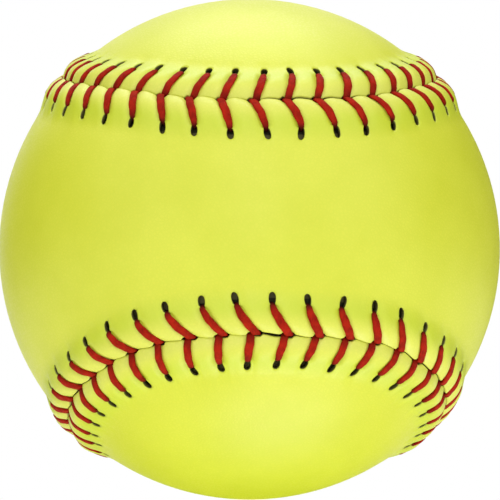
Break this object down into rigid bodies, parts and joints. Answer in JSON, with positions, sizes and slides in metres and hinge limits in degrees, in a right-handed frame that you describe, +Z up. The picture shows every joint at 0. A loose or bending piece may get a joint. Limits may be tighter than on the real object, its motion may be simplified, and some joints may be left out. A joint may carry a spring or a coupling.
{
  "type": "softball",
  "caption": "Leather softball: a round foam core under two sewn figure-eight cover panels with a raised stitched seam, for throwing, catching and batting.",
  "frame": {"origin": "centre of the ball", "axes": "+Z up; -Y points out through the middle of the front panel's waist; +X runs along that waist to one of the front panel's lobes; the back panel's lobes are at +Z and -Z"},
  "size_m": [0.097, 0.097, 0.097],
  "materials": {
    "core_foam": "moulded polyurethane foam, dark grey, matte",
    "cement": "dried dark cover cement, satin",
    "cover_leather": "optic yellow dyed leather, low sheen",
    "thread": "red waxed sewing thread"
  },
  "bodies": {
    "root": {"core": "core_foam", "front_cement_film": "cement", "back_cement_film": "cement", "front_cover_panel": "cover_leather", "back_cover_panel": "cover_leather", "first_needle_thread": "thread", "second_needle_thread": "thread"}
  },
  "joints": []
}
